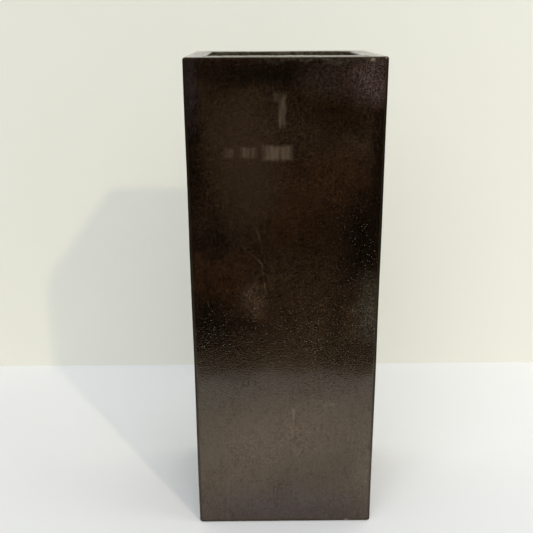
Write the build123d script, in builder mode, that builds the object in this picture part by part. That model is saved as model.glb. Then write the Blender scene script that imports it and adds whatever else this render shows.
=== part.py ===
from build123d import *
import os

# A tall square vase of cast concrete. Millimetres, +Z up, the front face towards -Y.
# The origin is on the floor, under the middle of the vase.

# The outside, which the mould gives: its four faces draw in a little towards the foot
overall_height = 504  # from the floor to the rim, pads included
rim_width = 200
foot_width = 189
arris_radius = 4  # the four upright outer edges
rim_outer_round = 2.5
rim_inner_round = 2
foot_round = 0.8

# The inside, which the core gives: it draws in more, so that the core lifts out
rim_wall = 20
foot_wall = 24
cavity_corner_radius = 8

# The floor of the vase, poured into the foot and keyed into a groove round the walls
slab_thickness = 25
slab_recess = 2.5  # its underside stays this far above the foot
key_depth = 6
key_height = 10
key_lead = 1  # chamfer on the key's outer edges

# The drain in the middle of the floor, stepped so that the plug's flange sits below the water
drain_diameter = 26
seat_diameter = 42
seat_depth = 5
drain_lead = 1  # chamfer where the drain opens underneath

# The waterproof coat brushed over the inside
coat_thickness = 1.5
coat_below_rim = 40

# The rubber plug, pulled out upwards by its tab
plug_clearance = 0.05  # between the sealing ribs and the drain
flange_gap = 1  # round the flange, in its seat
flange_thickness = 4
flange_round = 1
stem_short = 3  # the stem ends this far above the slab's underside
stem_relief = 1.5  # how far the stem stands back between its ribs
rib_count = 3
rib_height = 2
tip_lead = 2  # chamfer on the stem's end, to find the drain
core_diameter = 12  # the hollow in the stem, which lets the rubber squeeze
core_depth = 10
tab_width = 24
tab_height = 26
tab_thickness = 5
tab_hole_diameter = 13
tab_round = 1
tab_root = 1  # how far the tab is let into the flange

# The pads stuck under the corners
pad_diameter = 20
pad_thickness = 1
pad_round = 0.4

# Heights above the floor
foot_z = pad_thickness
rim_z = overall_height
slab_bottom_z = foot_z + slab_recess
slab_top_z = slab_bottom_z + slab_thickness
seat_z = slab_top_z - seat_depth
key_z = (slab_bottom_z + slab_top_z - key_height) / 2
coat_top_z = rim_z - coat_below_rim


def cavity_width(height):
    """The width of the hollow at a height above the floor: its walls are flat and lean outwards."""
    foot_cavity = foot_width - 2 * foot_wall
    rim_cavity = rim_width - 2 * rim_wall
    return foot_cavity + (rim_cavity - foot_cavity) * (height - foot_z) / (rim_z - foot_z)


key_width = cavity_width(key_z) + 2 * key_depth
key_corner_radius = cavity_corner_radius + key_depth
os.makedirs("parts", exist_ok=True)

# The walls: one cast tube of four flat faces, grooved inside for the floor's key
with BuildPart() as wall_shell:
    with BuildSketch(Plane.XY.offset(foot_z)):
        RectangleRounded(foot_width, foot_width, arris_radius)
    with BuildSketch(Plane.XY.offset(rim_z)):
        RectangleRounded(rim_width, rim_width, arris_radius)
    loft(ruled=True)
    with BuildSketch(Plane.XY.offset(foot_z)):
        RectangleRounded(cavity_width(foot_z), cavity_width(foot_z), cavity_corner_radius)
    with BuildSketch(Plane.XY.offset(rim_z)):
        RectangleRounded(cavity_width(rim_z), cavity_width(rim_z), cavity_corner_radius)
    loft(ruled=True, mode=Mode.SUBTRACT)
    rim_face = wall_shell.faces().sort_by(Axis.Z)[-1]
    fillet(rim_face.outer_wire().edges(), rim_outer_round)
    rim_face = wall_shell.faces().sort_by(Axis.Z)[-1]
    fillet(rim_face.inner_wires()[0].edges(), rim_inner_round)
    foot_face = wall_shell.faces().sort_by(Axis.Z)[0]
    fillet(foot_face.outer_wire().edges(), foot_round)
    with BuildSketch(Plane.XY.offset(key_z)):
        RectangleRounded(key_width, key_width, key_corner_radius)
    key_space = extrude(amount=key_height, mode=Mode.PRIVATE)
    key_edges = key_space.faces().filter_by(Axis.Z).edges()
    add(key_space.chamfer(key_lead, None, key_edges), mode=Mode.SUBTRACT)
wall_shell.part.label = "wall_shell"
export_step(wall_shell.part, "parts/wall_shell.step")

# The floor: a slab that fills the foot between the walls, with its key and the stepped drain
with BuildPart() as base_slab:
    with BuildSketch(Plane.XY.offset(key_z)):
        RectangleRounded(key_width, key_width, key_corner_radius)
    extrude(amount=key_height)
    chamfer(base_slab.faces().filter_by(Axis.Z).edges(), key_lead)
    with BuildSketch(Plane.XY.offset(slab_bottom_z)) as slab_underside:
        RectangleRounded(cavity_width(slab_bottom_z), cavity_width(slab_bottom_z), cavity_corner_radius)
    with BuildSketch(Plane.XY.offset(slab_top_z)) as slab_top:
        RectangleRounded(cavity_width(slab_top_z), cavity_width(slab_top_z), cavity_corner_radius)
    loft([slab_underside.sketch, slab_top.sketch], ruled=True)
    with Locations(Plane.XY.offset(slab_top_z)):
        CounterBoreHole(drain_diameter / 2, seat_diameter / 2, seat_depth)
    underside = base_slab.faces().sort_by(Axis.Z)[0]
    chamfer(underside.inner_wires()[0].edges(), drain_lead)
base_slab.part.label = "base_slab"
export_step(base_slab.part, "parts/base_slab.step")

# The waterproof coat: a skin over the slab and up the walls, open at the drain's seat
with BuildPart() as inner_membrane:
    with BuildSketch(Plane.XY.offset(slab_top_z)):
        RectangleRounded(cavity_width(slab_top_z), cavity_width(slab_top_z), cavity_corner_radius)
    with BuildSketch(Plane.XY.offset(coat_top_z)):
        RectangleRounded(cavity_width(coat_top_z), cavity_width(coat_top_z), cavity_corner_radius)
    loft(ruled=True)
    coat_floor_z = slab_top_z + coat_thickness
    bare_corner_radius = cavity_corner_radius - coat_thickness
    with BuildSketch(Plane.XY.offset(coat_floor_z)):
        bare_floor_width = cavity_width(coat_floor_z) - 2 * coat_thickness
        RectangleRounded(bare_floor_width, bare_floor_width, bare_corner_radius)
    with BuildSketch(Plane.XY.offset(coat_top_z)):
        bare_top_width = cavity_width(coat_top_z) - 2 * coat_thickness
        RectangleRounded(bare_top_width, bare_top_width, bare_corner_radius)
    loft(ruled=True, mode=Mode.SUBTRACT)
    with Locations(Plane.XY.offset(coat_floor_z)):
        Hole(seat_diameter / 2)
inner_membrane.part.label = "inner_membrane"
export_step(inner_membrane.part, "parts/inner_membrane.step")

# The plug: a flange that the water presses onto its seat, a ribbed stem and a tab with a finger hole
flange_radius = seat_diameter / 2 - flange_gap
rib_radius = drain_diameter / 2 - plug_clearance
stem_radius = rib_radius - stem_relief
stem_tip_z = slab_bottom_z + stem_short
rib_pitch = (seat_z - stem_tip_z - tip_lead) / rib_count
with BuildPart() as drain_plug:
    with BuildSketch(Plane.XY.offset(stem_tip_z)):
        Circle(stem_radius)
    extrude(amount=seat_z - stem_tip_z)
    chamfer(drain_plug.faces().sort_by(Axis.Z)[0].edges(), tip_lead)
    with BuildSketch(Plane.XZ):
        for rib in range(rib_count):
            rib_z = seat_z - (rib + 0.5) * rib_pitch
            with BuildLine():
                Polyline(
                    (0, rib_z - rib_height),
                    (stem_radius, rib_z - rib_height),
                    (rib_radius, rib_z - rib_height / 2),
                    (rib_radius, rib_z + rib_height / 2),
                    (stem_radius, rib_z + rib_height),
                    (0, rib_z + rib_height),
                    close=True,
                )
            make_face()
    revolve(axis=Axis.Z)
    with BuildSketch(Plane.XY.offset(seat_z)):
        Circle(flange_radius)
    extrude(amount=flange_thickness)
    flange_top_z = seat_z + flange_thickness
    fillet(drain_plug.faces().sort_by(Axis.Z)[-1].edges(), flange_round)
    with BuildSketch(Plane.XY.offset(stem_tip_z)):
        Circle(core_diameter / 2)
    extrude(amount=core_depth, mode=Mode.SUBTRACT)
    tab_crown = tab_width / 2
    with BuildSketch(Plane.XZ.offset(-tab_thickness / 2)):
        with BuildLine():
            Polyline(
                (tab_crown, flange_top_z + tab_height - tab_crown),
                (tab_crown, flange_top_z - tab_root),
                (-tab_crown, flange_top_z - tab_root),
                (-tab_crown, flange_top_z + tab_height - tab_crown),
            )
            ThreePointArc(
                (-tab_crown, flange_top_z + tab_height - tab_crown),
                (0, flange_top_z + tab_height),
                (tab_crown, flange_top_z + tab_height - tab_crown),
            )
        make_face()
        with Locations((0, flange_top_z + tab_height - tab_crown)):
            Circle(tab_hole_diameter / 2, mode=Mode.SUBTRACT)
    tab = extrude(amount=tab_thickness, mode=Mode.PRIVATE)
    tab_rims = tab.faces().filter_by(Axis.Y).edges().filter_by(GeomType.CIRCLE)
    add(tab.fillet(tab_round, tab_rims))
drain_plug.part.label = "drain_plug"
export_step(drain_plug.part, "parts/drain_plug.step")

# The pads: four rubber discs under the middle of the wall's foot, one at each corner
pad_offset = (foot_width - foot_wall) / 2
corners = {
    "front_left": (-pad_offset, -pad_offset),
    "front_right": (pad_offset, -pad_offset),
    "rear_left": (-pad_offset, pad_offset),
    "rear_right": (pad_offset, pad_offset),
}
for corner, centre in corners.items():
    with BuildPart() as foot_pad:
        with BuildSketch():
            with Locations(centre):
                Circle(pad_diameter / 2)
        extrude(amount=pad_thickness)
        fillet(foot_pad.faces().sort_by(Axis.Z)[0].edges(), pad_round)
    foot_pad.part.label = "foot_pad_" + corner
    export_step(foot_pad.part, "parts/foot_pad_" + corner + ".step")
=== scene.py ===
# %% [markdown]
# # A lacquered concrete vase
#
# The vase is a tall square tube of cast concrete, brushed with dark brown lacquer. It stands on four
# thin pads, and inside it has a waterproof coat and a rubber plug in its drain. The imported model
# already holds every piece at its real size, so this script loads it as a fixed frame and dresses it:
# where a cast or brushed surface shows, a finer mesh takes the place of the plain solid.

# %% Load the frame
import math
import random

import bmesh
import bpy
from mathutils import Matrix, Vector, noise


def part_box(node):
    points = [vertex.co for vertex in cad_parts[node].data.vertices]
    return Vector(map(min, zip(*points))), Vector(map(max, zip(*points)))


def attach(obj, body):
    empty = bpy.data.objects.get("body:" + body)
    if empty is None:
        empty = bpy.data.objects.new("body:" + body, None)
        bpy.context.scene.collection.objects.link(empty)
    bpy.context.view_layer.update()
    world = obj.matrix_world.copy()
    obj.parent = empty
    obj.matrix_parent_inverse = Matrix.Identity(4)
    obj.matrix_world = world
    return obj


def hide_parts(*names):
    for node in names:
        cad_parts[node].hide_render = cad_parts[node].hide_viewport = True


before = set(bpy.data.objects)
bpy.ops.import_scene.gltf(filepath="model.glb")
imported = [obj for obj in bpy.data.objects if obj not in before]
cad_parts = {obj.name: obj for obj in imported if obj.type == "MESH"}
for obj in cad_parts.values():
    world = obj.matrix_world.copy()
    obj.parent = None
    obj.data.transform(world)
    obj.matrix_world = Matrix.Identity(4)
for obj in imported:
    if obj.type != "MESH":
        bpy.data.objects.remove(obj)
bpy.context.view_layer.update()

MM = 0.001
UP = 2  # the number of the z axis
print("nodes:", sorted(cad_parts))

# %% [markdown]
# ## Node maths as Python
#
# A procedural finish is mostly arithmetic on textures. Wiring Math nodes one by one hides that
# arithmetic, so one small class wraps an output socket and lets Python's own operators add the nodes.
# Every other kind of node comes from its one method, which sets the node's settings before its sockets.

# %% A wire of a node tree
class Wire:
    """An output socket of a node tree. Arithmetic on it adds the Math nodes that work it out."""

    def __init__(self, tree, socket=None):
        self.tree = tree
        self.socket = socket

    def node(self, kind, settings=None, inputs=None, output=0):
        """Adds a node of a kind, with its settings and the values or wires of its sockets."""
        made = self.tree.nodes.new(kind)
        for name, setting in (settings or {}).items():
            setattr(made, name, setting)
        for place, value in (inputs or {}).items():
            if isinstance(value, Wire):
                self.tree.links.new(value.socket, made.inputs[place])
            else:
                made.inputs[place].default_value = value
        return Wire(self.tree, made.outputs[output])

    def feeds(self, shader, name):
        """Leads this wire into a socket of a shader."""
        self.tree.links.new(self.socket, shader.inputs[name])

    def math(self, operation, first, second=0.0):
        return self.node("ShaderNodeMath", {"operation": operation}, {0: first, 1: second})

    def __add__(self, other):
        return self.math("ADD", self, other)

    def __sub__(self, other):
        return self.math("SUBTRACT", self, other)

    def __rsub__(self, other):
        return self.math("SUBTRACT", other, self)

    def __mul__(self, other):
        return self.math("MULTIPLY", self, other)

    __radd__ = __add__
    __rmul__ = __mul__

    def vector(self, operation, other=(0.0, 0.0, 0.0), output="Vector"):
        """Vector arithmetic on a place or a colour, with a fixed vector or another wire."""
        return self.node("ShaderNodeVectorMath", {"operation": operation}, {0: self, 1: other}, output)

    def part(self, axis):
        """The x, y or z of this vector, for an axis of 0, 1 or 2."""
        return self.node("ShaderNodeSeparateXYZ", {}, {0: self}, axis)

    def at_most(self, limit):
        """The smaller of this value and a limit."""
        return self.math("MINIMUM", self, limit)

    def at_least(self, limit):
        """The larger of this value and a limit."""
        return self.math("MAXIMUM", self, limit)

    def scaled(self, amount):
        """This vector or colour times a number."""
        return self.node("ShaderNodeVectorMath", {"operation": "SCALE"}, {0: self, "Scale": amount})

    def step(self, low, high):
        """0 below low, 1 above high and a smooth rise between them."""
        settings = {"interpolation_type": "SMOOTHSTEP"}
        return self.node("ShaderNodeMapRange", settings, {"Value": self, "From Min": low, "From Max": high})

    def noise(self, size, seed, detail=2.0):
        """Soft noise from 0 to 1 at this place, in blotches about size metres across."""
        inputs = {"Vector": self, "W": seed, "Scale": 1 / size, "Detail": detail}
        return self.node("ShaderNodeTexNoise", {"noise_dimensions": "4D"}, inputs)

    def grains(self, spacing, radius):
        """1 in small round grains that are scattered about spacing apart, and 0 between them."""
        distance = self.node("ShaderNodeTexVoronoi", {}, {"Vector": self, "Scale": 1 / spacing}, "Distance")
        return 1 - distance.step(0.4 * radius / spacing, radius / spacing)

    def bump(self, depth):
        """A normal that is tilted as if this value stood depth metres tall."""
        return self.node("ShaderNodeBump", {}, {"Height": self, "Distance": depth}, "Normal")


def mix(amount, first, second):
    """The first colour turning into the second as amount goes from 0 to 1."""
    colours = {0: amount, 6: first, 7: second}
    return amount.node("ShaderNodeMix", {"data_type": "RGBA"}, colours, 2)


def rgb(red, green, blue):
    """A shader's colour, from the levels of 0 to 255 that a screen shows."""
    shares = [level / 255 for level in (red, green, blue)]
    linear = [s / 12.92 if s <= 0.04045 else ((s + 0.055) / 1.055) ** 2.4 for s in shares]
    return (*linear, 1.0)


def new_finish(name):
    """A new material, its main shader and a wire of the object's own coordinates."""
    material = bpy.data.materials.new(name)
    material.use_nodes = True
    place = Wire(material.node_tree).node("ShaderNodeTexCoord", output="Object")
    return material, material.node_tree.nodes["Principled BSDF"], place


# %% [markdown]
# ## The mould's shape
#
# The walls come out of a steel mould around a core. Both draw in towards the foot, the core more, so
# that it can be lifted out. A box whose lower corners are pulled in gives each of them, and bevels on
# its uprights round the corners.

# %% Sizes of the walls
shell_low, shell_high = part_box("wall_shell")
slab_low, slab_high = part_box("base_slab")
coat_low, coat_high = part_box("inner_membrane")
FOOT_Z, RIM_Z = shell_low.z, shell_high.z
RIM_HALF = 100 * MM
FOOT_HALF = 94.5 * MM
RIM_WALL = 20 * MM
FOOT_WALL = 24 * MM
ARRIS = 4 * MM
CORE_CORNER = 8 * MM
HAIR = 0.01 * MM


def between(height, foot, rim):
    """A size at a height, where it runs straight from foot to rim."""
    return foot + (rim - foot) * (height - FOOT_Z) / (RIM_Z - FOOT_Z)


def mould_half(height):
    """Half the width of the vase at a height."""
    return between(height, FOOT_HALF, RIM_HALF)


def core_half(height):
    """Half the width of the hollow at a height."""
    return between(height, FOOT_HALF - FOOT_WALL, RIM_HALF - RIM_WALL)


print("rim", 2 * mould_half(RIM_Z), "m wide, foot", 2 * mould_half(FOOT_Z), "m wide")

# %% A drafted box without ends
CORNER_STEPS = 5
ARC = 0.5  # the profile of a bevel that is an arc
LEVEL = 0.9  # a level face's normal points up or down by more than this
UPRIGHT = 0.5  # and an upright face's by less than this


def middle(edge):
    """The point halfway along an edge."""
    return (edge.verts[0].co + edge.verts[1].co) / 2


def rise(edge):
    """How much higher one end of an edge is than the other."""
    return abs(edge.verts[0].co.z - edge.verts[1].co.z)


def add_drafted_box(mesh, half_at, low, high, corner):
    """Adds a box that draws in towards its foot, with rounded uprights and open ends."""
    made = bmesh.ops.create_cube(mesh, size=2)["verts"]
    for vert in made:
        height = high if vert.co.z > 0 else low
        vert.co = (vert.co.x * half_at(height), vert.co.y * half_at(height), height)
    box_edges = {edge for vert in made for edge in vert.link_edges}
    uprights = [edge for edge in box_edges if rise(edge) > (high - low) / 2]
    bmesh.ops.bevel(
        mesh, geom=uprights, offset=corner, offset_type="OFFSET", segments=CORNER_STEPS,
        profile=ARC, affect="EDGES", material=-1,
    )
    mesh.normal_update()
    ends = [face for face in mesh.faces if abs(face.normal.z) > LEVEL]
    bmesh.ops.delete(mesh, geom=ends, context="FACES_ONLY")


shell = bmesh.new()
add_drafted_box(shell, mould_half, FOOT_Z, RIM_Z, ARRIS)
add_drafted_box(shell, core_half, FOOT_Z + HAIR, RIM_Z - HAIR, CORE_CORNER)
print("mould and core:", len(shell.faces), "faces")

# %% [markdown]
# ## Closing the wall
#
# Bridging the open ends of mould and core makes the rim and the foot. bridge_loops tells from the
# places of two loops which way round to join them, and loops at exactly one height give it no clue.
# That is why the core's ends start a hair inside the mould's, and are put level only afterwards.

# %% Bridge the rim and the foot
def open_edges(mesh, height):
    """The open edges within a few hairs of a height."""
    return [e for e in mesh.edges if e.is_boundary and abs(middle(e).z - height) < 3 * HAIR]


for height in (FOOT_Z, RIM_Z):
    bmesh.ops.bridge_loops(shell, edges=open_edges(shell, height))
for vert in shell.verts:
    vert.co.z = RIM_Z if vert.co.z > RIM_Z / 2 else FOOT_Z
bmesh.ops.recalc_face_normals(shell, faces=shell.faces)
print("concrete in the walls:", round(shell.calc_volume() * 1000, 2), "litres")

# %% [markdown]
# ## The groove for the floor
#
# The floor slab is poured into the foot after the walls have set, and a groove round the inside holds
# it. Two cuts across the inner faces mark the groove's band, and an inset of no width pushes it back.

# %% Cut the groove
SLAB_MIDDLE = (slab_low.z + slab_high.z) / 2
KEY_HEIGHT = 10 * MM
KEY_DEPTH = 6 * MM


def reach(element):
    """How far a face or an edge is from the vase's centre line, across or along."""
    place = middle(element) if isinstance(element, bmesh.types.BMEdge) else element.calc_center_median()
    return max(abs(place.x), abs(place.y))


def is_inside(element):
    """Whether a part of the mesh is nearer to the core than to the mould."""
    return reach(element) < (FOOT_HALF + core_half(RIM_Z)) / 2


for height in (SLAB_MIDDLE - KEY_HEIGHT / 2, SLAB_MIDDLE + KEY_HEIGHT / 2):
    inner = [face for face in shell.faces if abs(face.normal.z) < UPRIGHT and is_inside(face)]
    edges = {edge for face in inner for edge in face.edges}
    verts = {vert for face in inner for vert in face.verts}
    bmesh.ops.bisect_plane(
        shell, geom=[*inner, *edges, *verts], plane_co=(0, 0, height), plane_no=(0, 0, 1),
    )
band = [
    face for face in shell.faces
    if is_inside(face) and abs(face.calc_center_median().z - SLAB_MIDDLE) < KEY_HEIGHT / 4
]
bmesh.ops.inset_region(shell, faces=band, use_boundary=True, use_even_offset=True, depth=-KEY_DEPTH)
print("groove:", len(band), "faces pushed back")

# %% [markdown]
# ## Eased rim and foot
#
# Concrete can't hold a sharp edge: it crumbles, and lacquer pulls thin there. So the rim is eased on
# both sides and the foot on the outside. A bevel on each sharp ring does it, and a ring is found by
# its height, its side and the angle between its faces, which is safer than counting edges.

# %% Ease the sharp rings
RIM_ROUND = 2.5 * MM
MOUTH_ROUND = 2 * MM
FOOT_ROUND = 0.8 * MM
SHARP = math.radians(60)


def sharp_ring(mesh, height, inside):
    """The edges of the sharp ring at a height, on the inside or the outside of the wall."""
    level = [e for e in mesh.edges if rise(e) < HAIR and abs(middle(e).z - height) < HAIR]
    return [e for e in level if e.calc_face_angle() > SHARP and is_inside(e) == inside]


for height, inside, easing in (
    (RIM_Z, False, RIM_ROUND),
    (RIM_Z, True, MOUTH_ROUND),
    (FOOT_Z, False, FOOT_ROUND),
):
    bmesh.ops.bevel(
        shell, geom=sharp_ring(shell, height, inside), offset=easing, offset_type="OFFSET",
        segments=CORNER_STEPS, profile=ARC, affect="EDGES", material=-1,
    )
print("eased:", len(shell.faces), "faces")

# %% [markdown]
# ## A mesh fine enough to be uneven
#
# A flat face can't be uneven, so each one is cut into a fine grid. Cutting whole families of parallel
# edges with subdivide_edges keeps it all quads: first the long level edges, then the uprights, then
# the short edges that cross the rim and the foot.

# %% Cut the grid
GRID = 3 * MM


def cut(mesh, edges, step):
    """Cuts a family of parallel edges into steps of about the same length."""
    longest = max(edge.calc_length() for edge in edges)
    bmesh.ops.subdivide_edges(mesh, edges=edges, cuts=round(longest / step) - 1, use_grid_fill=True)


cut(shell, [e for e in shell.edges if rise(e) < HAIR and e.calc_length() > RIM_HALF], GRID)
uprights = [edge for edge in shell.edges if rise(edge) > RIM_Z / 2]
cut(shell, [edge for edge in uprights if not is_inside(edge)], GRID)
cut(shell, [edge for edge in uprights if is_inside(edge)], 3 * GRID)
cut(shell, [e for e in shell.edges if rise(e) < HAIR and e.calc_length() > RIM_WALL / 2], GRID)
print("grid:", len(shell.faces), "faces")

# %% [markdown]
# ## Uneven and worn
#
# Light shows what a ruler hardly feels. The faces of a cast are out of flat by a few tenths of a
# millimetre, so that reflections bend, its edges are worn in places, and the edge of the mouth is
# rough, because nobody polishes it. The front rim stands a little proud along its middle. Noise moves
# each point along its normal. Two attributes tell the finish what a point is: arris is 1 on the
# upright corners, and raw is 1 where the core was.

# %% Make the surface uneven
SWELL, SWELL_SPAN = 0.35 * MM, 120 * MM
RIPPLE, RIPPLE_SPAN = 0.06 * MM, 25 * MM
WEAR, WEAR_SPAN = 0.3 * MM, 15 * MM
MOUTH_ROUGHNESS, MOUTH_SPAN, MOUTH_REACH = 0.6 * MM, 6 * MM, 8 * MM
ARRIS_REACH = 5 * MM
FOOT_EDGE = 3 * MM
LIP_RISE, LIP_SPAN, LIP_SLOPE = 1.0 * MM, 30 * MM, 4 * MM
LIP_INNER, LIP_OUTER = 78 * MM, 95 * MM  # how far in front of the middle the proud strip lies
CROWN = 0.3  # the normals on top of the rim point up by more than this


def clamp(value):
    """The value, kept from 0 to 1."""
    return min(1.0, max(0.0, value))


def swell(place):
    """The unevenness of the cast at a place."""
    return SWELL * noise.noise(place / SWELL_SPAN) + RIPPLE * noise.noise(place / RIPPLE_SPAN)


def lip(place):
    """How far the front rim stands proud at a place."""
    on_strip = clamp((-place.y - LIP_INNER) / LIP_SLOPE) * clamp((LIP_OUTER + place.y) / LIP_SLOPE)
    return LIP_RISE * on_strip * (0.8 + 0.5 * noise.noise(Vector((place.x / LIP_SPAN, 0, 3))))


def make_uneven(mesh):
    """Moves the points of the walls by noise, and marks what they are."""
    arris = mesh.verts.layers.float.new("arris")
    raw = mesh.verts.layers.float.new("raw")
    mesh.normal_update()
    moves = []
    for vert in mesh.verts:
        place, normal = vert.co, vert.normal
        near, far = sorted((abs(place.x), abs(place.y)))
        inside = far < (mould_half(place.z) + core_half(place.z)) / 2
        move = swell(place) if normal.z > -UPRIGHT else 0.0
        if normal.z > CROWN and abs(place.x) < core_half(RIM_Z):
            move += lip(place)
        if inside:
            below_rim = RIM_Z - place.z
            vert[raw] = clamp(below_rim / MOUTH_ROUND)
            crumbling = abs(noise.noise(place / MOUTH_SPAN))
            move -= MOUTH_ROUGHNESS * clamp(1 - below_rim / MOUTH_REACH) * crumbling
        else:
            to_corner = (mould_half(place.z) - near) / ARRIS_REACH
            vert[arris] = clamp(1 - min(to_corner, (place.z - FOOT_Z) / FOOT_EDGE))
            bluntness = sorted(abs(part) for part in normal)[1]
            move -= WEAR * bluntness * clamp(0.4 + noise.noise(place / WEAR_SPAN))
        moves.append(normal * move)
    for vert, move in zip(mesh.verts, moves):
        vert.co += move


make_uneven(shell)
print("uneven by up to", round((SWELL + RIPPLE) / MM, 2), "mm")

# %% [markdown]
# ## Chips
#
# Where the vase has been knocked, the lacquer and a crumb of cement are gone. A chip needs a finer
# mesh than its surroundings, so the faces round it are divided first. Then its points sink, and the
# attribute named bare marks them for the finish.

# %% Knock off the chips
CHIPS = (
    (Vector((83.5, -99.6, 501.6)) * MM, 1.1 * MM),
    (Vector((96.8, -98.4, 502.4)) * MM, 1.5 * MM),
    (Vector((-97.8, -97.0, 502.9)) * MM, 1.3 * MM),
    (Vector((67.2, -94.2, 1.8)) * MM, 1.3 * MM),
    (Vector((94.2, 40.0, 3.0)) * MM, 2.2 * MM),
    (Vector((98.6, 96.4, 470.0)) * MM, 2.0 * MM),
    (Vector((-93.6, 92.2, 20.0)) * MM, 2.4 * MM),
    (Vector((-20.0, 98.8, 503.0)) * MM, 2.0 * MM),
)
CHIP_DEPTH, CHIP_REACH = 0.35, 1.6  # as shares of a chip's radius
CHIP_CUTS = 3
CRUMB = 0.8 * MM


def knock_off(mesh, spot, radius):
    """Sinks the points round a spot, and says how many they are."""
    bare = mesh.verts.layers.float["bare"]
    near = [face for face in mesh.faces if (face.calc_center_median() - spot).length < CHIP_REACH * radius]
    edges = list({edge for face in near for edge in face.edges})
    bmesh.ops.subdivide_edges(mesh, edges=edges, cuts=CHIP_CUTS, use_grid_fill=True)
    mesh.normal_update()
    hit = [vert for vert in mesh.verts if (vert.co - spot).length < radius]
    for vert in hit:
        depth = 1 - ((vert.co - spot).length / radius) ** 2
        roughness = 0.7 + 0.6 * noise.noise(vert.co / CRUMB)
        vert[bare] = clamp(2.5 * depth)
        vert.co -= vert.normal * radius * CHIP_DEPTH * depth * roughness
    return len(hit)


shell.verts.layers.float.new("bare")
for spot, radius in CHIPS:
    points = knock_off(shell, spot, radius)
    print("chip at", tuple(round(part / MM) for part in spot), "sinks", points, "points")

# %% [markdown]
# ## Pinholes
#
# Air bubbles that clung to the mould leave pinholes in cast concrete. The lacquer sinks into them, and
# dust gathers there. Points of the grid are drawn at random, more where the noise says that bubbles
# crowded. A bevel opens each into a small disc, and insets push the disc in.

# %% Open the pinholes
SEED = 31
PINHOLES = 260
PINHOLE_RADII = (0.35 * MM, 0.5 * MM, 0.7 * MM)
PINHOLE_LIP, PINHOLE_WALL, PINHOLE_DEPTH = 0.15, 0.2, 0.8  # as shares of a pinhole's radius
PINHOLE_BARE = 0.6
CROWD_SPAN = 50 * MM
FLAT = 0.999  # the normals of the flat faces point one way by more than this


def pinhole_spots(mesh, rng):
    """Points on the outer faces, no two of them neighbours."""
    flat = [
        vert for vert in mesh.verts
        if len(vert.link_edges) == 4 and 2 * GRID < vert.co.z < RIM_Z - 2 * GRID
        and max(abs(part) for part in vert.normal) > FLAT
        and max(abs(vert.co.x), abs(vert.co.y)) > FOOT_HALF - MM
    ]
    rng.shuffle(flat)
    spots, taken = [], set()
    for vert in flat:
        crowd = 0.5 + noise.noise(vert.co / CROWD_SPAN)
        if vert not in taken and rng.random() < crowd ** 2:
            spots.append(vert)
            taken.update(other for face in vert.link_faces for other in face.verts)
        if len(spots) == PINHOLES:
            break
    return spots


def open_pinholes(mesh):
    """Pushes in a small disc at each spot, and says how many there are."""
    bare = mesh.verts.layers.float["bare"]
    spots = pinhole_spots(mesh, random.Random(SEED))
    for index, radius in enumerate(PINHOLE_RADII):
        group = spots[index::len(PINHOLE_RADII)]
        opened = bmesh.ops.bevel(
            mesh, geom=group, offset=radius, offset_type="OFFSET", segments=2,
            profile=ARC, affect="VERTICES", material=-1,
        )["faces"]
        discs = [face for face in opened if face.calc_area() < radius ** 2]
        bmesh.ops.inset_region(mesh, faces=discs, use_even_offset=True, thickness=PINHOLE_LIP * radius)
        bmesh.ops.inset_region(
            mesh, faces=discs, use_even_offset=True,
            thickness=PINHOLE_WALL * radius, depth=-PINHOLE_DEPTH * radius,
        )
        for face in discs:
            for vert in face.verts:
                vert[bare] = PINHOLE_BARE
    return len(spots)


print("pinholes:", open_pinholes(shell), "and", len(shell.faces), "faces now")

# %% [markdown]
# ## The lacquer
#
# The pigment is brushed on in thin coats, so its brown drifts between ochre, red and nearly black in
# broad patches. The front has its own, which are laid where the photographed vase has them: an egg-
# shaped cloud of tone for each, with an edge that noise breaks up. Some of these clouds are painted
# light instead of pigment: pale sheens and reflections high on the front and down its sides, and
# painted shade along the foot. Gloss comes from a clear coat over a duller base, so that a reflection
# has a sharp core and a warm, soft veil.

# %% Tones of the lacquer and painted light
NEAR_BLACK = rgb(11, 8, 6)
DARK = rgb(11, 6, 3)
RED_BROWN = rgb(27, 15, 6)
UMBER = rgb(32, 21, 13)
BROWN = rgb(39, 27, 17)
OCHRE_TONE_AND_SHEEN = rgb(46, 34, 22)
ORANGE = rgb(40, 23, 10)
PLUM_TONE_AND_SHEEN = rgb(60, 47, 42)
ROSE = rgb(62, 47, 35)
OLIVE_SHEEN = rgb(52, 48, 38)
HAZE_SHEEN_TONE = rgb(92, 78, 63)
UNDERCOAT_AND_GLINT = rgb(66, 66, 54)
SLATE_SHEEN = rgb(38, 31, 32)
FOOT_SHADE = rgb(28, 20, 31)
DUST = rgb(134, 118, 98)
SPECK = rgb(226, 214, 192)
CEMENT = rgb(118, 108, 92)

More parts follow.
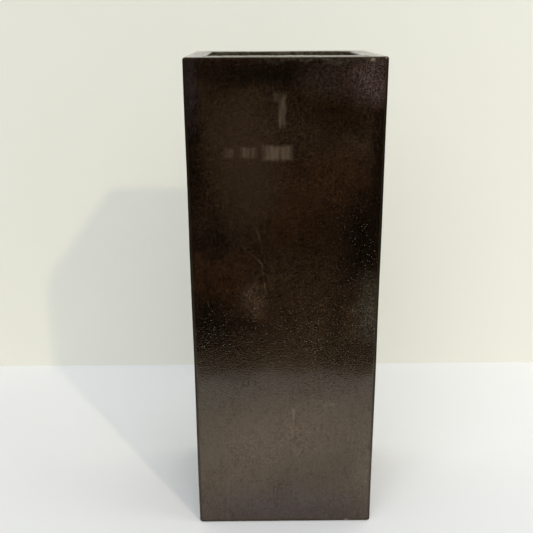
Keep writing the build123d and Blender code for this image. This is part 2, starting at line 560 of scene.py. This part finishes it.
CLOUDS = (  # tone, strength, middle across and up, half size across and up in millimetres
    # painted sheen: the two high ochre clouds paint a paler, greyer sheen on the upper left of the front
    (OCHRE_TONE_AND_SHEEN, 0.9, -43, 425, 46, 66),
    (OCHRE_TONE_AND_SHEEN, 0.7, -30, 372, 44, 46),
    (ORANGE, 0.9, 44, 384, 58, 36),
    (BROWN, 0.8, 24, 424, 26, 30),
    (ORANGE, 0.85, 8, 345, 32, 34),
    (RED_BROWN, 0.8, 32, 318, 44, 44),
    (ORANGE, 0.6, -68, 284, 50, 34),
    (BROWN, 0.8, 16, 262, 62, 66),
    (DARK, 0.9, -24, 489, 78, 17),
    (DARK, 0.7, -94, 420, 15, 110),
    (DARK, 1.0, 80, 318, 32, 66),
    (DARK, 1.0, -80, 228, 32, 44),
    (DARK, 0.8, 96, 400, 14, 90),
    # painted sheen: the warm plum glow at the top right of the front
    (PLUM_TONE_AND_SHEEN, 0.3, 58, 484, 52, 24),
    (PLUM_TONE_AND_SHEEN, 0.95, 86, 482, 24, 32),
    (RED_BROWN, 0.85, 50, 448, 40, 24),
    # painted sheen: a pale olive band just below the front rim
    (OLIVE_SHEEN, 0.6, 40, 501, 80, 3),
    # painted sheen: a pale grey-blue strip down the upper left corner
    (SLATE_SHEEN, 0.6, -94, 474, 12, 44),
    # painted shade: a darker, purplish band along the foot, standing in for the dimmer floor mirrored there
    (FOOT_SHADE, 0.9, 0, 16, 130, 26),
    (ROSE, 0.7, -32, 258, 14, 24),
    (ROSE, 0.55, 14, 104, 76, 44),
    (PLUM_TONE_AND_SHEEN, 0.4, -50, 76, 56, 50),
    # painted reflections: olive-grey patches down the right side of the front
    (OLIVE_SHEEN, 0.9, 90, 246, 20, 44),
    (OLIVE_SHEEN, 0.6, 90, 70, 18, 60),
)


FRONT_Y = -98 * MM
FRONT_DEPTH = 50 * MM  # how deep into the vase a cloud or a mark of the front goes


def shares_of(place, across, up, half_across, half_up):
    """A place, told from the middle of a spot on the front in shares of the spot's half sizes."""
    from_middle = place.vector("SUBTRACT", (across * MM, FRONT_Y, up * MM))
    return from_middle.vector("DIVIDE", (half_across * MM, FRONT_DEPTH, half_up * MM))


def egg(place, *spot):
    """1 in the middle of an egg-shaped spot on the front, fading to 0 at its edge."""
    return 1 - shares_of(place, *spot).vector("LENGTH", output="Value").step(0.1, 1.25)


print(len(CLOUDS), "clouds of tone on the front")


# %% [markdown]
# ## Marks in the lacquer
#
# A wipe is a box-shaped patch that a cloth has left hazy, and its pale haze is also a painted highlight:
# the glossy smears on the front. A rub is a thin line between two places, and a swarm is where specks
# of dust crowd. Each is told by its place on the front face.

# %% Marks in the lacquer
def patch(place, *spot):
    """1 in the middle of a box-shaped spot on the front, fading to 0 at its sides."""
    sides = shares_of(place, *spot).vector("ABSOLUTE")
    wide, deep, high = (sides.part(axis) for axis in range(3))
    return 1 - wide.at_least(high).at_least(deep).step(0.5, 1.2)


WIPES_AND_SHEENS = (  # strength, middle across and up, half size across and up in millimetres
    (0.7, -3, 452, 4, 18),
    (0.35, -9, 466, 4, 5),
    (0.4, -57, 411, 6, 5),
    (0.7, -37, 412, 9, 6),
    (1.0, -8, 411, 15, 8),
    (0.6, 9, 126, 2, 13),
    (0.35, 48, 141, 8, 3),
)
SWARMS = (  # middle across and up, half size across and up in millimetres
    (78, 306, 28, 50),
    (-80, 224, 30, 44),
    (20, 212, 120, 50),
)
RUBS = (  # from and to, across and up in millimetres
    (-50, 321, -24, 299),
    (-24, 299, -20, 268),
    (-30, 336, -24, 312),
    (4, 160, 12, 148),
    (-7, 37, -2, 45),
)


def rub(place, start_across, start_up, end_across, end_up):
    """A thin line between two places on the front, fading out to both sides."""
    start = Vector((start_across * MM, FRONT_Y, start_up * MM))
    run = Vector((end_across * MM, FRONT_Y, end_up * MM)) - start
    from_start = place.vector("SUBTRACT", tuple(start))
    along = from_start.vector("DOT_PRODUCT", tuple(run / run.length_squared), "Value")
    along = along.at_least(0.0).at_most(1.0)
    nearest = place.node("ShaderNodeCombineXYZ", {}, {i: along * run[i] for i in range(3)})
    distance = from_start.vector("SUBTRACT", nearest).vector("LENGTH", output="Value")
    return 1 - distance.step(0.3 * MM, 1.5 * MM)


print(len(WIPES_AND_SHEENS), "wipes,", len(RUBS), "rubs and", len(SWARMS), "swarms of dust")

# %% [markdown]
# ## Layers of the lacquer
#
# The finish is built as the real one is, layer on layer. First come the tones. Then grain scales them
# up and down: streaks of the brush, mottling and flecks of pigment. It is weaker where the lacquer is
# thick and calm. Marks and dust lie on top. The last layer decides how each spot shines.

# %% Lay the tones
def lay_tones(place, broken):
    """The lacquer's tones and painted sheens, and how calm it is: 1 in the thick ochre clouds and 0
    elsewhere.
    """
    colour = mix(place.noise(120 * MM, 1).step(0.4, 0.62), UMBER, RED_BROWN)
    colour = mix(place.noise(100 * MM, 2).step(0.52, 0.7) * 0.7, colour, OCHRE_TONE_AND_SHEEN)
    colour = mix(place.noise(80 * MM, 3).step(0.5, 0.68) * 0.8, colour, DARK)
    calm = 0
    for tone, strength, *egg_size in CLOUDS:
        cover = egg(broken, *egg_size) * strength
        colour = mix(cover, colour, tone)
        if tone is OCHRE_TONE_AND_SHEEN:
            calm = cover + calm
    return colour, calm.at_most(1.0)


# %% Grain of the pigment
def pigment_grain(place, height, mottle, fleck, brushed):
    """How far the pigment's grain is above or below its average, which is 0."""
    belt = height.step(150 * MM, 180 * MM) * (1 - height.step(210 * MM, 250 * MM))
    dragged = place.vector("MULTIPLY", (0.3, 0.3, 1)).noise(1.8 * MM, 11, detail=3)
    grain = (mottle - 0.5) * 1.2 + (fleck - 0.5) * 4.5 + (brushed - 0.5) * 1.1
    return grain + (dragged - 0.5) * belt * 1.5


# %% Marks and dust
def add_marks(colour, place, wavy, mottle):
    """The wipes and rubs on the front. The wipes are also painted highlights, the glossy smears."""
    streaks = place.vector("MULTIPLY", (1, 1, 0.1)).noise(3 * MM, 6).step(0.3, 0.7)
    haze_and_sheen = sum(patch(wavy, *wipe) * strength for strength, *wipe in WIPES_AND_SHEENS) * (0.35 + 0.65 * streaks)
    rubs = sum(rub(wavy, *ends) for ends in RUBS) * mottle.step(0.35, 0.65)
    colour = mix(haze_and_sheen.at_most(1.0) * 0.75, colour, HAZE_SHEEN_TONE)
    return mix(rubs.at_most(1.0) * 0.3, colour, HAZE_SHEEN_TONE)


def add_dust(colour, place, broken):
    """The pale specks caught in the varnish, most of them where they swarm."""
    crowd = sum(egg(broken, *swarm) for swarm in SWARMS)
    crowd = crowd.at_most(1.0) * (0.4 + 0.6 * place.noise(20 * MM, 7).step(0.35, 0.65))
    fine = place.grains(1.7 * MM, 0.35 * MM) * (0.15 + 0.85 * crowd)
    coarse = place.grains(2.6 * MM, 0.32 * MM) * (0.16 + 0.84 * crowd)
    return mix(coarse * 0.75, mix(fine * 0.35, colour, DUST), SPECK)


# %% Mix the lacquer
LEAST_TONE = 0.25  # the grain leaves at least this share of a tone
SWIRL = 18 * MM
BREAK, WAVE = 24 * MM, 5 * MM  # how far the swirl pushes the edges of clouds and of marks
LACQUER_IOR = 1.65
SHEEN_TINT = (1.0, 0.74, 0.45, 1.0)
COAT_ROUGHNESS = 0.11


def brown_lacquer():
    material, shader, place = new_finish("brown_lacquer")
    height = place.part(UP)
    swirl = {"Vector": place, "Scale": 1 / SWIRL, "Detail": 4.0}
    sway = place.node("ShaderNodeTexNoise", {}, swirl, "Color").vector("SUBTRACT", (0.5, 0.5, 0.5))
    broken = place.vector("ADD", sway.scaled(BREAK))
    wavy = place.vector("ADD", sway.scaled(WAVE))
    mottle = place.noise(3.2 * MM, 5, detail=4)
    fleck = place.noise(1.4 * MM, 12, detail=2)
    brushed = place.vector("MULTIPLY", (1, 1, 0.12)).noise(2.2 * MM, 4, detail=3)
    arris, raw, bare = (
        place.node("ShaderNodeAttribute", {"attribute_name": name}, output="Fac")
        for name in ("arris", "raw", "bare")
    )

    colour, calm = lay_tones(place, broken)
    depth = 1 + pigment_grain(place, height, mottle, fleck, brushed) * (1 - calm * 0.65)
    colour = colour.scaled(depth.at_least(LEAST_TONE))
    colour = add_dust(add_marks(colour, place, wavy, mottle), place, broken)
    # The upright corners are painted near black: a painted dark reflection along the rounded corners.
    colour = mix(arris.step(0.1, 0.7) * 0.9, colour, NEAR_BLACK)
    # Where the core was, the colour is mottled near black and pale olive: the pale spots are painted glints
    # on the rough undercoat.
    rough = place.noise(4 * MM, 10, detail=5)
    colour = mix(raw * 0.85, colour, mix(rough.step(0.42, 0.6), NEAR_BLACK, UNDERCOAT_AND_GLINT))
    mix(bare, colour, CEMENT).feeds(shader, "Base Color")

    normal = place.node("ShaderNodeNewGeometry", output="Normal")
    crown = normal.part(UP).step(0.5, 0.9)
    dull = arris.step(0.1, 0.8).at_least(raw).at_least(crown * 0.3)
    smudges = place.noise(30 * MM, 8, detail=4)
    (0.07 + 0.09 * smudges + 0.6 * dull + 0.4 * bare).feeds(shader, "Roughness")

    thin = 1 - 0.35 * (1 - height.step(10 * MM, 45 * MM))
    cloudy = (place.noise(50 * MM, 13, detail=4) - 0.5) * 1.5
    grain = (fleck - 0.5) * 2.6 + (mottle - 0.5) * 1.2 + (brushed - 0.5) * 0.9
    coat = (0.93 + grain + cloudy) * thin * (1 - 0.9 * dull)
    coat.at_most(1.0).feeds(shader, "Coat Weight")
    (0.05 * brushed + 0.22 * fleck + rough * raw).bump(1 * MM).feeds(shader, "Normal")
    shader.inputs["IOR"].default_value = LACQUER_IOR
    shader.inputs["Specular Tint"].default_value = SHEEN_TINT
    shader.inputs["Coat Roughness"].default_value = COAT_ROUGHNESS
    return material


lacquer = brown_lacquer()
print("lacquer nodes:", len(lacquer.node_tree.nodes))

# %% Finish the walls
def finish_piece(mesh, name, material, slot, body, *nodes):
    """Turns a bmesh into a piece that stands for CAD nodes and moves with their body."""
    data = bpy.data.meshes.new(name)
    mesh.to_mesh(data)
    mesh.free()
    data.shade_smooth()
    data.materials.append(material)
    piece = bpy.data.objects.new(name, data)
    bpy.context.scene.collection.objects.link(piece)
    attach(piece, body)
    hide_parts(*nodes)
    print(name, "has", len(data.polygons), "faces")
    return piece


finish_piece(shell, "lacquered_walls", lacquer, "lacquered_concrete", "vase", "wall_shell")

# %% [markdown]
# ## The waterproof coat
#
# Bare concrete lets water through, so a rubbery coat is brushed over the inside, up to a few
# centimetres below the rim. It is the core's own shape again, closed at the bottom up to the drain.
# Its thickness comes from solidify, and noise gives it brush strokes and a wavering upper edge.

# %% Brush on the coat
COAT = 1.5 * MM
DRAIN_SEAT = 21 * MM
SEAT_SIDES = 48
COAT_GRID = 6 * MM
STROKE, STROKE_SPAN = 0.25 * MM, 8 * MM
EDGE_DROP = 7 * MM
EDGE_SPAN, EDGE_FRINGE = 30 * MM, 9 * MM


def coat_mesh():
    """The coat's outer side, against the concrete, which solidify then thickens into the hollow."""
    mesh = bmesh.new()
    add_drafted_box(mesh, core_half, coat_low.z, coat_high.z, CORE_CORNER)
    seat = Matrix.Translation((0, 0, coat_low.z - HAIR))
    bmesh.ops.create_circle(mesh, segments=SEAT_SIDES, radius=DRAIN_SEAT, matrix=seat)
    bmesh.ops.bridge_loops(mesh, edges=open_edges(mesh, coat_low.z))
    for vert in mesh.verts:
        vert.co.z = max(vert.co.z, coat_low.z)
    bmesh.ops.recalc_face_normals(mesh, faces=mesh.faces)
    cut(mesh, [e for e in mesh.edges if rise(e) < HAIR and e.calc_length() > RIM_HALF], COAT_GRID)
    cut(mesh, [e for e in mesh.edges if rise(e) > RIM_Z / 2], COAT_GRID)
    return mesh


def waver(mesh):
    """Lowers the coat's upper edge unevenly, and draws the rows under it after it."""
    for vert in mesh.verts:
        share = clamp(1 - (coat_high.z - vert.co.z) / (4 * EDGE_DROP))
        drop = noise.noise(vert.co / EDGE_SPAN) + 0.4 * noise.noise(vert.co / EDGE_FRINGE)
        vert.co.z -= EDGE_DROP * share * clamp(0.45 + 0.6 * drop)


coat = coat_mesh()
waver(coat)
bmesh.ops.solidify(coat, geom=coat.faces[:], thickness=COAT)
coat.normal_update()
for vert in coat.verts:
    if max(abs(vert.co.x), abs(vert.co.y)) < core_half(vert.co.z) - COAT / 2:
        stroke = noise.noise(Vector((vert.co.x, vert.co.y, 0.3 * vert.co.z)) / STROKE_SPAN)
        vert.co += vert.normal * STROKE * stroke
print("coat:", len(coat.faces), "faces,", round(coat.calc_volume() * 1e6), "millilitres")

# %% Finish the coat
def coat_finish():
    material, shader, place = new_finish("brushed_coat")
    strokes = place.vector("MULTIPLY", (1, 1, 0.1)).noise(6 * MM, 16, detail=4)
    patches = place.noise(40 * MM, 17, detail=4)
    colour = mix(strokes.step(0.3, 0.7), rgb(146, 147, 142), rgb(174, 174, 168))
    colour = mix(patches.step(0.45, 0.65) * 0.5, colour, rgb(188, 185, 174))
    silt = 1 - place.part(UP).step(30 * MM, 50 * MM)
    mix(silt * patches.step(0.35, 0.6) * 0.6, colour, rgb(150, 132, 106)).feeds(shader, "Base Color")
    (0.4 + 0.2 * strokes + 0.2 * silt).feeds(shader, "Roughness")
    strokes.bump(0.4 * MM).feeds(shader, "Normal")
    return material


finish_piece(coat, "brushed_coat", coat_finish(), "waterproof_coat", "vase", "inner_membrane")

# %% [markdown]
# ## The hidden pieces
#
# The slab, the plug and the pads have the right shape already, so their solids stay.

# %% Give the solids their finishes
def bare_concrete():
    material, shader, place = new_finish("bare_concrete")
    clouds = place.noise(30 * MM, 11, detail=5)
    pores = place.grains(6 * MM, 0.9 * MM)
    colour = mix(clouds.step(0.35, 0.65), rgb(150, 146, 136), rgb(176, 172, 162))
    # The pores are painted darker: painted shade in the pits.
    mix(pores * 0.7, colour, rgb(96, 92, 84)).feeds(shader, "Base Color")
    (0.8 + 0.15 * clouds).feeds(shader, "Roughness")
    (place.noise(2 * MM, 13, detail=4) - pores).bump(0.2 * MM).feeds(shader, "Normal")
    return material


def rubber(name, light, dark, roughness):
    material, shader, place = new_finish(name)
    clouds = place.noise(12 * MM, 14, detail=4)
    mix(clouds.step(0.3, 0.7), dark, light).feeds(shader, "Base Color")
    (roughness + 0.15 * clouds).feeds(shader, "Roughness")
    place.noise(0.8 * MM, 15).bump(0.03 * MM).feeds(shader, "Normal")
    return material


finishes = {
    "base_slab": bare_concrete(),
    "drain_plug": rubber("plug_rubber", rgb(44, 43, 42), rgb(30, 29, 28), 0.5),
}
pads = rubber("pad_rubber", rgb(60, 56, 52), rgb(46, 43, 40), 0.7)
for name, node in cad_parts.items():
    finish = finishes.get(name, pads)
    if name not in ("wall_shell", "inner_membrane"):
        node.data.materials.clear()
        node.data.materials.append(finish)
        print(name, "gets", finish.name)

# %% [markdown]
# ## Floor and wall
#
# The vase stands on a pale floor in front of a pale wall. The wall is drawn from its front only: seen
# from behind it is clear, so that a camera behind the vase looks through it.

# %% Set the stage
WALL_Y = 385 * MM
STAGE_WIDTH, WALL_HEIGHT = 8, 4  # in metres


def stage_sheet(name, material, width, depth, place):
    """A flat sheet of the stage, in the place that a matrix gives."""
    mesh = bmesh.new()
    bmesh.ops.create_grid(mesh, x_segments=1, y_segments=1, size=0.5)
    bmesh.ops.transform(mesh, matrix=place @ Matrix.Diagonal((width, depth, 1, 1)), verts=mesh.verts)
    data = bpy.data.meshes.new(name)
    mesh.to_mesh(data)
    mesh.free()
    data.materials.append(material)
    sheet = bpy.data.objects.new(name, data)
    bpy.context.scene.collection.objects.link(sheet)
    return sheet


def matt(name, colour):
    """A plain finish without any shine."""
    material, shader, _ = new_finish(name)
    shader.inputs["Base Color"].default_value = colour
    shader.inputs["Roughness"].default_value = 0.9
    shader.inputs["Specular IOR Level"].default_value = 0.0
    return material


def upright(x, y, turn, height):
    """A place for an upright sheet of a height, standing on the floor and turned to the vase."""
    facing = Matrix.Rotation(turn, 4, "Z") @ Matrix.Rotation(math.radians(90), 4, "X")
    return Matrix.Translation((x, y, height / 2)) @ facing


floor_white = matt("floor_white", rgb(243, 243, 244))
stage_sheet("floor", floor_white, STAGE_WIDTH, STAGE_WIDTH, Matrix.Identity(4))

wall_white = matt("wall_white", rgb(226, 225, 214))
tree = wall_white.node_tree
behind = Wire(tree).node("ShaderNodeNewGeometry", output="Backfacing")
clear = Wire(tree).node("ShaderNodeBsdfTransparent")
paint = Wire(tree, tree.nodes["Principled BSDF"].outputs["BSDF"])
one_sided = behind.node("ShaderNodeMixShader", {}, {0: behind, 1: paint, 2: clear})
one_sided.feeds(tree.nodes["Material Output"], "Surface")
wall_place = upright(0, WALL_Y, 0, WALL_HEIGHT)
wall = stage_sheet("wall", wall_white, STAGE_WIDTH, WALL_HEIGHT, wall_place)
wall.visible_shadow = False
print("the wall stands", round(WALL_Y / MM), "mm behind the middle of the vase")

# %% [markdown]
# ## Dark flags
#
# What a glossy surface shows depends on what stands round it. The photographed vase mirrors dark
# surroundings above a pale floor, and the height where its front turns from dark to pale tells how far
# away the dark begins. Three dark sheets stand there. Only reflections see them, so they take no light
# away.

# %% Set up the flags
FLAG_TONE = rgb(20, 15, 11)
FLAG_HEIGHT = 3
flag_cloth = bpy.data.materials.new("flag_cloth")
flag_cloth.use_nodes = True
tree = flag_cloth.node_tree
glow = Wire(tree).node("ShaderNodeEmission", {}, {"Color": FLAG_TONE, "Strength": 1.0})
glow.feeds(tree.nodes["Material Output"], "Surface")
for name, x, y, turn, width in (
    ("flag_front", 0, -509, 0, 4),
    ("flag_left", -420, 0, 90, 1.2),
    ("flag_right", 420, 0, -90, 1.2),
):
    stand = upright(x * MM, y * MM, math.radians(turn), FLAG_HEIGHT)
    flag = stage_sheet(name, flag_cloth, width, FLAG_HEIGHT, stand)
    flag.visible_camera = False
    flag.visible_diffuse = False
    flag.visible_shadow = False
    flag.visible_transmission = False
    print(name, "stands at", (x, y), "mm")

# %% [markdown]
# ## Light
#
# Most of the light is soft: the room all round, and a wide window in front that is higher than the
# vase. A small warm lamp to the right draws the faint shadow on the wall, and another at the side
# brightens the floor there. The camera sees a plain backdrop where there is no wall.

# %% Light it
AMBIENT = rgb(173, 179, 186)
BACKDROP = rgb(228, 227, 216)
world = bpy.data.worlds.new("studio")
bpy.context.scene.world = world
world.use_nodes = True
sky = Wire(world.node_tree)
path = sky.node("ShaderNodeLightPath", output="Is Camera Ray")
rays = path.socket.node.outputs
shown = path + Wire(path.tree, rays["Is Glossy Ray"]) + Wire(path.tree, rays["Is Transmission Ray"])
backdrop = mix(shown.at_most(1.0), AMBIENT, BACKDROP)
backdrop.feeds(world.node_tree.nodes["Background"], "Color")


def add_lamp(name, kind, energy, colour, way, distance=0.0):
    """A lamp that shines on the vase from the way it lies in."""
    lamp_data = bpy.data.lights.new(name, kind)
    lamp_data.energy = energy
    lamp_data.color = colour
    lamp = bpy.data.objects.new(name, lamp_data)
    bpy.context.scene.collection.objects.link(lamp)
    way = Vector(way).normalized()
    lamp.location = way * distance
    lamp.rotation_euler = way.to_track_quat("Z", "Y").to_euler()
    return lamp


key = add_lamp("key", "SUN", energy=0.5, colour=(1.0, 0.84, 0.58), way=(0.40, -0.735, 0.545))
key.data.angle = math.radians(2)
window = add_lamp("window", "SUN", energy=1.35, colour=(0.96, 0.98, 1.0), way=(-0.05, -0.75, 0.62))
window.data.angle = math.radians(60)
side = add_lamp(
    "side", "AREA", energy=6, colour=(1.0, 0.98, 0.92), way=(1.6, -0.6, 0.9), distance=1.93,
)
side.data.size = 1
side.visible_glossy = False
for lamp in (key, window, side):
    print(lamp.name, "is a", lamp.data.type, "of", round(lamp.data.energy, 2))

# %% [markdown]
# ## The camera
#
# Its place and its lens were solved from the straight edges of the vase in the photograph.

# %% Place the camera
LENS, SENSOR_WIDTH = 60.6, 36  # in millimetres
CAMERA_PLACE = Vector((-28.2, -983.8, 534.1)) * MM
PITCH, YAW, ROLL = (math.radians(angle) for angle in (15.105, 0.57, -0.24))
camera_data = bpy.data.cameras.new("camera")
camera_data.sensor_width = SENSOR_WIDTH
camera_data.lens = LENS
camera = bpy.data.objects.new("camera", camera_data)
bpy.context.scene.collection.objects.link(camera)
bpy.context.scene.camera = camera
look = Matrix.Rotation(-YAW, 4, "Z") @ Matrix.Rotation(math.pi / 2 - PITCH, 4, "X")
camera.matrix_world = Matrix.Translation(CAMERA_PLACE) @ look @ Matrix.Rotation(ROLL, 4, "Z")
bpy.context.scene.view_settings.view_transform = "Standard"
print("the camera stands", round(CAMERA_PLACE.length, 2), "m away")
